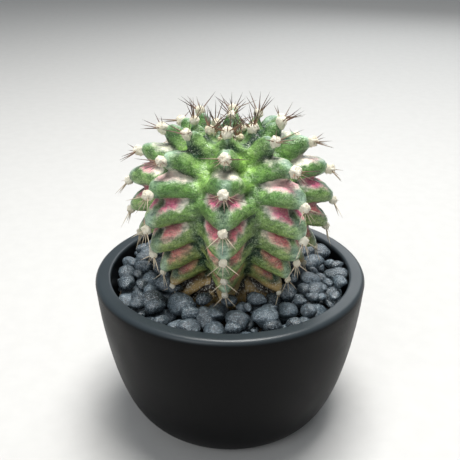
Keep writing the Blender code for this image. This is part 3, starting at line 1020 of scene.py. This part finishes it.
def paint_valley_shade(tree, stem, maps, green):
    """Painted shade in the valleys lower down, with pale specks."""
    valley_shade = plus(tree, maps.across, times(tree, maps.blotches, 0.14))
    valley_shade = times(tree, stretch(tree, valley_shade, 0.84, 1.06), stretch(tree, maps.level, 0.42, 0.66), 0.92)
    specks = times(tree, maps.dots["Grains"], 0.75)
    valley = blend_colours(tree, specks, stem.shade_skin, (0.34, 0.42, 0.30))
    return blend_colours(tree, valley_shade, green, valley)


def patch_colour(tree, stem, maps):
    """Cream higher up, pink in the middle, salmon and brown lower down, and paler away from the crest."""
    level, across = maps.level, maps.across
    near = colour_ramp(
        tree,
        level,
        (0.18, (0.66, 0.74, 0.50)),
        (0.31, (0.90, 0.84, 0.72)),
        (0.41, stem.pink_patch),
        (0.47, stem.pink_patch),
        (0.56, (0.80, 0.24, 0.27)),
        (0.70, stem.salmon_patch),
        (0.84, shades(stem.salmon_patch, 0.6)[0]),
        (1.00, (0.16, 0.07, 0.04)),
    )
    far = colour_ramp(
        tree,
        level,
        (0.16, (0.52, 0.66, 0.34)),
        (0.30, stem.cream_patch),
        (0.50, stem.cream_patch),
        (0.62, (0.66, 0.46, 0.34)),
        (0.76, (0.52, 0.30, 0.18)),
        (0.90, stem.cork),
    )
    sideways = plus(tree, across, times(tree, maps.blotches, 0.22))
    bands = blend_colours(tree, stretch(tree, sideways, 0.46, 0.78), near, far)
    bands = blend_colours(tree, times(tree, maps.fine["Grains"], 0.12), bands, stem.cream_patch)
    shadow = times(tree, maps.under, stretch(tree, sideways, 0.85, 0.35))
    inner = times(tree, stretch(tree, across, 0.30, 0.08), 0.65)
    shadow = math_node(tree, "MAXIMUM", shadow, inner)
    shadow = times(tree, shadow, stretch(tree, level, 0.28, 0.52, 0.08, 0.95))
    return blend_colours(tree, shadow, bands, stem.maroon)


def lay_patches(tree, stem, maps, green):
    """Puts the patches under the chins, each with a ragged border."""
    edge = plus(
        tree, maps.patch, times(tree, maps.blotches, 0.42), times(tree, maps.fine["Clouds"], 0.24)
    )
    border = blend_colours(tree, stretch(tree, maps.level, 0.55, 0.80), stem.cream_patch, stem.cork)
    border = blend_colours(tree, 0.45, border, green)
    colour = blend_colours(tree, stretch(tree, edge, 0.46, 0.96), green, border)
    patch = patch_colour(tree, stem, maps)
    return blend_colours(tree, stretch(tree, edge, 0.58, 1.22), colour, patch)


def mottle_skin(tree, maps, colour):
    """Fine mottling all over: streaks, pale frosted specks, darker pits and shade under the chins."""
    streaky = blend_colours(tree, maps.streaks, (0.56, 0.62, 0.60), (1.46, 1.38, 1.38))
    colour = blend_colours(tree, 1.0, colour, streaky, "MULTIPLY")
    specks = times(tree, maps.fine["Grains"], stretch(tree, maps.clouds, 0.1, 0.9, 0.30, 0.75))
    colour = blend_colours(tree, specks, colour, blend_colours(tree, 0.45, colour, (0.60, 0.72, 0.44)))
    pits = stretch(tree, maps.fine["Height"], 0.26, 0.0, 0.0, 0.60)
    pits = times(tree, pits, stretch(tree, maps.patch, 0.9, 0.3, 0.4, 1.0))
    dim = blend_colours(tree, pits, (1.0, 1.0, 1.0), (0.35, 0.40, 0.38))
    colour = blend_colours(tree, 1.0, colour, dim, "MULTIPLY")
    chin = times(tree, maps.under, stretch(tree, maps.across, 1.0, 0.4, 0.0, 0.60))
    return blend_colours(tree, chin, colour, blend_colours(tree, 0.80, colour, (0.05, 0.02, 0.01)))


def cork_over(tree, stem, maps, colour):
    """Corky bands where the stem meets the gravel."""
    base = plus(tree, height_up(tree), times(tree, maps.clouds, -3.5 * MM))
    cork = plus(tree, maps.ridge, times(tree, maps.blotches, 0.5))
    cork = blend_colours(tree, stretch(tree, cork, 0.55, 1.15), (0.022, 0.014, 0.008), stem.cork)
    cork = blend_colours(tree, times(tree, maps.dots["Grains"], 0.5), cork, stem.cream_patch)
    return blend_colours(tree, stretch(tree, base, CORK_TOP, CORK_FULL), colour, cork)


def skin_material(stem):
    material, tree, shader = new_material("cactus_skin")
    maps = SkinMaps(tree)
    colour = paint_valley_shade(tree, stem, maps, ridge_colour(tree, stem, maps))
    colour = lay_patches(tree, stem, maps, colour)
    colour = cork_over(tree, stem, maps, mottle_skin(tree, maps, colour))
    relief = plus(tree, maps.fine["Height"], times(tree, maps.dots["Height"], 1.2))
    feed(
        tree,
        shader,
        {
            "Base Color": colour,
            "Roughness": stretch(tree, maps.blotches, 0.0, 1.0, 0.24, 0.40),
            "Specular IOR Level": 0.5,
            "Normal": bump(tree, relief, 0.16 * MM, 0.8),
        },
    )
    return material


# Tufts


def wool_material(tufts):
    material, tree, shader = new_material("areole_wool")
    felt = mottle(tree, 0.18 * MM, 0.6)
    broad = mottle(tree, 1.2 * MM)["Clouds"]
    warm = (tufts.wool[0] * 0.86, tufts.wool[1] * 0.72, tufts.wool[2] * 0.48)
    mixed = times(tree, broad, stretch(tree, attribute(tree, "tone"), 0.0, 1.0, 0.20, 0.75))
    colour = blend_colours(tree, mixed, tufts.wool, warm)
    colour = blend_colours(tree, times(tree, felt["Grains"], 0.4), colour, (0.90, 0.88, 0.80))
    normal = bump(tree, felt["Height"], 0.22 * MM)
    feed(tree, shader, {"Base Color": colour, "Roughness": 0.95, "Normal": normal})
    feed(tree, shader, {"Sheen Weight": 0.25, "Sheen Roughness": 0.5})
    return material


def spine_material(tufts):
    material, tree, shader = new_material("horny_spine")
    tip, tone = attribute(tree, "tip"), attribute(tree, "tone")
    tan = (0.42, 0.27, 0.14)
    old, young = tufts.pale_spine, tufts.dark_spine
    pale = colour_ramp(tree, tip, (0.0, tan), (0.25, old), (0.8, old), (1.0, (0.30, 0.17, 0.10)))
    stops = ((0.0, tan), (0.28, (0.16, 0.07, 0.04)), (0.7, young), (1.0, (0.02, 0.01, 0.01)))
    colour = blend_colours(tree, tone, pale, colour_ramp(tree, tip, *stops))
    streaks = mottle(tree, 0.35 * MM)["Clouds"]
    shade = blend_colours(tree, streaks, (0.8, 0.8, 0.8), (1.1, 1.1, 1.1))
    colour = blend_colours(tree, 1.0, colour, shade, "MULTIPLY")
    feed(tree, shader, {"Base Color": colour, "Roughness": 0.42})
    return material


def model_spine(name, bow):
    """A unit spine along +Z, thin to its tip and bowed towards -X, with how far up it each point is."""
    deselect_all()
    bpy.ops.mesh.primitive_circle_add(vertices=5, radius=1.0, fill_type="NGON")
    obj = take_primitive(name)
    edit(obj)
    bpy.ops.mesh.select_all(action="SELECT")
    below, width = SPINE_STATIONS[0], SPINE_WIDTHS[0]
    for station, new_width in zip(SPINE_STATIONS[1:], SPINE_WIDTHS[1:]):
        drift = bow * (station**2 - below**2)
        growth = new_width / width
        bpy.ops.mesh.extrude_region_move(
            TRANSFORM_OT_translate={"value": (-drift, 0.0, station - below)}
        )
        middle = (-bow * station**2, 0.0, station)
        bpy.ops.transform.resize(value=(growth, growth, 1.0), center_override=middle)
        below, width = station, new_width
    bpy.ops.mesh.select_all(action="SELECT")
    bpy.ops.mesh.normals_make_consistent(inside=False)
    leave_edit()
    bpy.ops.object.shade_smooth()
    set_values(obj, "tip", points_of(obj)[:, 2])
    return obj


def model_fleece(name, random):
    """A unit ball of wool: a lumpy ball with short hairs all over its outer side."""
    deselect_all()
    bpy.ops.mesh.primitive_ico_sphere_add(subdivisions=3, radius=0.92)
    ball = take_primitive(name)
    texture = bpy.data.textures.new(name, "CLOUDS")
    texture.noise_scale = 0.50
    bpy.ops.object.modifier_add(type="DISPLACE")
    ball.modifiers[-1].texture = texture
    ball.modifiers[-1].texture_coords = "LOCAL"
    ball.modifiers[-1].strength = 0.85
    bpy.ops.object.modifier_apply(modifier=ball.modifiers[-1].name)
    bpy.ops.object.shade_smooth()
    deselect_all()
    bpy.ops.mesh.primitive_cone_add(vertices=3, radius1=0.080, depth=0.36, location=(0.0, 0.0, 0.08))
    hair = take_primitive("hair")
    copies = [ball]
    for _ in range(HAIRS):
        away = Vector(random.normal(size=3)).normalized()
        away.z = abs(away.z) * 1.1 - 0.25
        away.normalize()
        lean = Euler(tuple(random.normal(0.0, 0.5, 3))).to_matrix().to_4x4()
        turn = away.to_track_quat("Z", "Y").to_matrix().to_4x4()
        copies.append(copy_of(hair, Matrix.Translation(away * 0.90) @ turn @ lean))
    discard([hair])
    return join_all(copies, name)


class TuftKind(NamedTuple):
    """The tufts up to one areole of the spiral, whose sizes are shares of a full-grown tuft's.

    A spine is its roll in degrees, where -90 is down the rib, its tilt from the areole's axis in degrees,
    and its length as a share of the longest.
    """

    last: int
    wool_width: float
    wool_height: float
    darkness: float
    spines: tuple


def fan(down, *right):
    """The spine down the rib, those to its right, and the same ones mirrored to its left."""
    left = ((180 - roll, tilt, length) for roll, tilt, length in reversed(right))
    return (down, *right, *left)


TUFT_KINDS = (
    TuftKind(11, 0.50, 0.90, 0.95, ((-90, 12, 0.75), (30, 12, 0.65), (150, 12, 0.70))),
    TuftKind(15, 0.70, 0.90, 0.95, (*fan((-90, 22, 0.90), (-25, 20, 0.85)), (90, 10, 0.75), (20, 14, 0.60))),
    TuftKind(23, 0.90, 1.10, 0.95, fan((-90, 40, 0.90), (-55, 44, 0.95), (-20, 44, 1.00), (15, 40, 0.80))),
    TuftKind(31, 1.00, 1.18, 0.90, (*fan((-90, 52, 0.90), (-55, 54, 0.90), (-14, 60, 1.05)), (60, 30, 0.50))),
    TuftKind(40, 1.02, 1.18, 0.85, fan((-90, 58, 0.85), (-62, 60, 0.80), (-35, 60, 0.70), (-14, 64, 1.00))),
    TuftKind(47, 0.94, 1.12, 0.45, fan((-90, 64, 0.76), (-66, 62, 0.60), (-30, 66, 0.92))),
    TuftKind(55, 0.84, 1.05, 0.16, fan((-90, 66, 0.72), (-68, 64, 0.56), (-33, 66, 0.86))),
    TuftKind(63, 0.72, 1.00, 0.14, fan((-90, 64, 0.68), (-66, 62, 0.53), (-32, 64, 0.80))),
    TuftKind(LAST_TUFT, 0.60, 0.90, 0.12, ((-80, 58, 0.60), (-40, 60, 0.70), (215, 60, 0.70))),
)


class CACTUS_OT_tufts(bpy.types.Operator):
    """Set a ball of wool and its spines on every areole"""

    bl_idname = "cactus.tufts"
    bl_label = "Wool and spines"

    def execute(self, context):
        scene = context.scene
        tufts = scene.cactus_tufts
        outline = Outline(scene.cactus_stem, scene.cactus_bowl)
        random = np.random.default_rng(tufts.seed)
        fleeces = [model_fleece(f"fleece_{index}", random) for index in range(FLEECES)]
        spines = [model_spine(f"spine_{index}", bow) for index, bow in enumerate(SPINE_BOWS)]
        for templates, material in ((fleeces, wool_material(tufts)), (spines, spine_material(tufts))):
            for template in templates:
                template.data.materials.append(material)
        crown = []
        for count in range(INNERMOST_TUFT, LAST_TUFT + 1):
            made = self.tuft(scene, outline, count, fleeces, spines, random)
            if count < FIRST_TUFT:
                crown.append(made)
                continue
            number = count - FIRST_TUFT + 1
            made.name = f"tuft_{number:02d}"
            made.data.name = made.name
            replaced = [f"areole_{number:02d}"] if count <= LAST_CAD_TUFT else []
            finish_piece(made, "areole", *replaced)
        finish_piece(join_all(crown, "crown_tufts"), "areole", "crown_wool")
        discard(fleeces + spines)
        return {"FINISHED"}

    def tuft(self, scene, outline, count, fleeces, spines, random):
        stem, tufts = scene.cactus_stem, scene.cactus_tufts
        kind = next(kind for kind in TUFT_KINDS if count <= kind.last)
        radius = tufts.wool_radius * kind.wool_width * random.uniform(0.93, 1.07)
        base = areole_frame(stem, scene.cactus_bowl, outline, count, TUFT_LIFT * radius)
        spin = Matrix.Rotation(random.uniform(0.0, FULL_TURN), 4, "Z")
        size = Matrix.Diagonal((radius, radius, radius * kind.wool_height, 1.0))
        fleece = fleeces[int(random.integers(len(fleeces)))]
        yellow = random.uniform(0.0, 0.5) + 0.5 * (count < YOUNG_TUFTS)
        copies = [copy_of(fleece, base @ size @ spin, tone=yellow, tip=0.0)]
        for roll, tilt, length_share in kind.spines:
            roll = math.radians(roll + random.normal(0.0, 5.0))
            tilt = math.radians(tilt + random.normal(0.0, 4.0))
            length = tufts.spine_length * length_share * random.uniform(0.90, 1.08)
            thick = tufts.spine_radius * (0.75 + 0.25 * length_share)
            matrix = (
                base
                @ Matrix.Rotation(roll, 4, "Z")
                @ Matrix.Translation((0.35 * radius, 0.0, 0.2 * radius))
                @ Matrix.Rotation(tilt, 4, "Y")
                @ Matrix.Diagonal((thick, thick, length, 1.0))
            )
            bowed = spines[int(random.integers(len(spines)))]
            dark = min(max(kind.darkness + random.normal(0.0, 0.08), 0.0), 1.0)
            copies.append(copy_of(bowed, matrix, tone=dark))
        return join_all(copies, "tuft")


# Studio


def floor_material(studio):
    material, tree, shader = new_material("pale_floor")
    near = shades(studio.floor_colour, 0.97)[0]
    paper = mottle(tree, 1.5 * MM)["Clouds"]
    colour = blend_colours(tree, paper, near, studio.floor_colour)
    feed(tree, shader, {"Base Color": colour, "Roughness": 0.75})
    return material


def room_light(studio):
    world = bpy.data.worlds.new("soft_room")
    world.use_nodes = True
    tree = world.node_tree
    feed(tree, tree.nodes["Background"], {"Color": ROOM_COLOUR, "Strength": studio.air_light})
    return world


def hang_softbox(name, place, size, power, colour):
    """A square light that faces the middle of the plant."""
    lamp = bpy.data.lights.new(name, "AREA")
    lamp.size = size
    lamp.energy = power
    lamp.color = colour
    middle = 0.5 * (Vector(cad_box[0]) + Vector(cad_box[1]))
    softbox = link_new(name, lamp)
    softbox.location = place
    softbox.rotation_euler = (middle - Vector(place)).to_track_quat("-Z", "Y").to_euler()


def stand_camera():
    lens = bpy.data.cameras.new("camera")
    lens.sensor_width = SENSOR_WIDTH
    lens.lens = LENS
    lens.clip_start = 5.0 * MM
    camera = link_new("camera", lens)
    camera.location = CAMERA_PLACE
    camera.rotation_euler = (CAMERA_TILT, 0.0, 0.0)
    return camera


class CACTUS_OT_studio(bpy.types.Operator):
    """Set up the pale floor, soft lights and camera"""

    bl_idname = "cactus.studio"
    bl_label = "Studio"

    def execute(self, context):
        scene = context.scene
        studio = scene.cactus_studio
        deselect_all()
        bpy.ops.mesh.primitive_plane_add(size=studio.floor_size, location=(0.0, 0.0, 0.0))
        floor = take_primitive("studio_floor")
        floor.data.materials.append(floor_material(studio))
        scene.world = room_light(studio)
        for name, place, size, share, colour in SOFTBOXES:
            hang_softbox(name, place, size, studio.light_power * share, colour)
        scene.camera = stand_camera()
        scene.view_settings.view_transform = "Standard"
        return {"FINISHED"}


class CACTUS_PT_panel(bpy.types.Panel):
    """The steps that build the cactus and its settings"""

    bl_label = "Potted round cactus"
    bl_idname = "CACTUS_PT_panel"
    bl_space_type = "VIEW_3D"
    bl_region_type = "UI"
    bl_category = "Cactus"

    def draw(self, context):
        for operator, settings in STEPS:
            box = self.layout.box()
            box.operator(operator.bl_idname)
            group = getattr(context.scene, settings)
            for name in group.bl_rna.properties.keys():
                if name not in {"rna_type", "name"}:
                    box.prop(group, name)


SETTINGS = {
    "cactus_bowl": BowlSettings,
    "cactus_gravel": GravelSettings,
    "cactus_stem": StemSettings,
    "cactus_tufts": TuftSettings,
    "cactus_studio": StudioSettings,
}
STEPS = (
    (CACTUS_OT_bowl, "cactus_bowl"),
    (CACTUS_OT_stem, "cactus_stem"),
    (CACTUS_OT_gravel, "cactus_gravel"),
    (CACTUS_OT_tufts, "cactus_tufts"),
    (CACTUS_OT_studio, "cactus_studio"),
)


def register():
    for name, group in SETTINGS.items():
        bpy.utils.register_class(group)
        setattr(bpy.types.Scene, name, PointerProperty(type=group))
    for operator, _ in STEPS:
        bpy.utils.register_class(operator)
    bpy.utils.register_class(CACTUS_PT_panel)


def unregister():
    bpy.utils.unregister_class(CACTUS_PT_panel)
    for operator, _ in reversed(STEPS):
        bpy.utils.unregister_class(operator)
    for name, group in reversed(SETTINGS.items()):
        delattr(bpy.types.Scene, name)
        bpy.utils.unregister_class(group)


def main():
    register()
    bpy.ops.cactus.bowl()
    bpy.ops.cactus.stem()
    bpy.ops.cactus.gravel()
    bpy.ops.cactus.tufts()
    bpy.ops.cactus.studio()


if __name__ == "__main__":
    main()
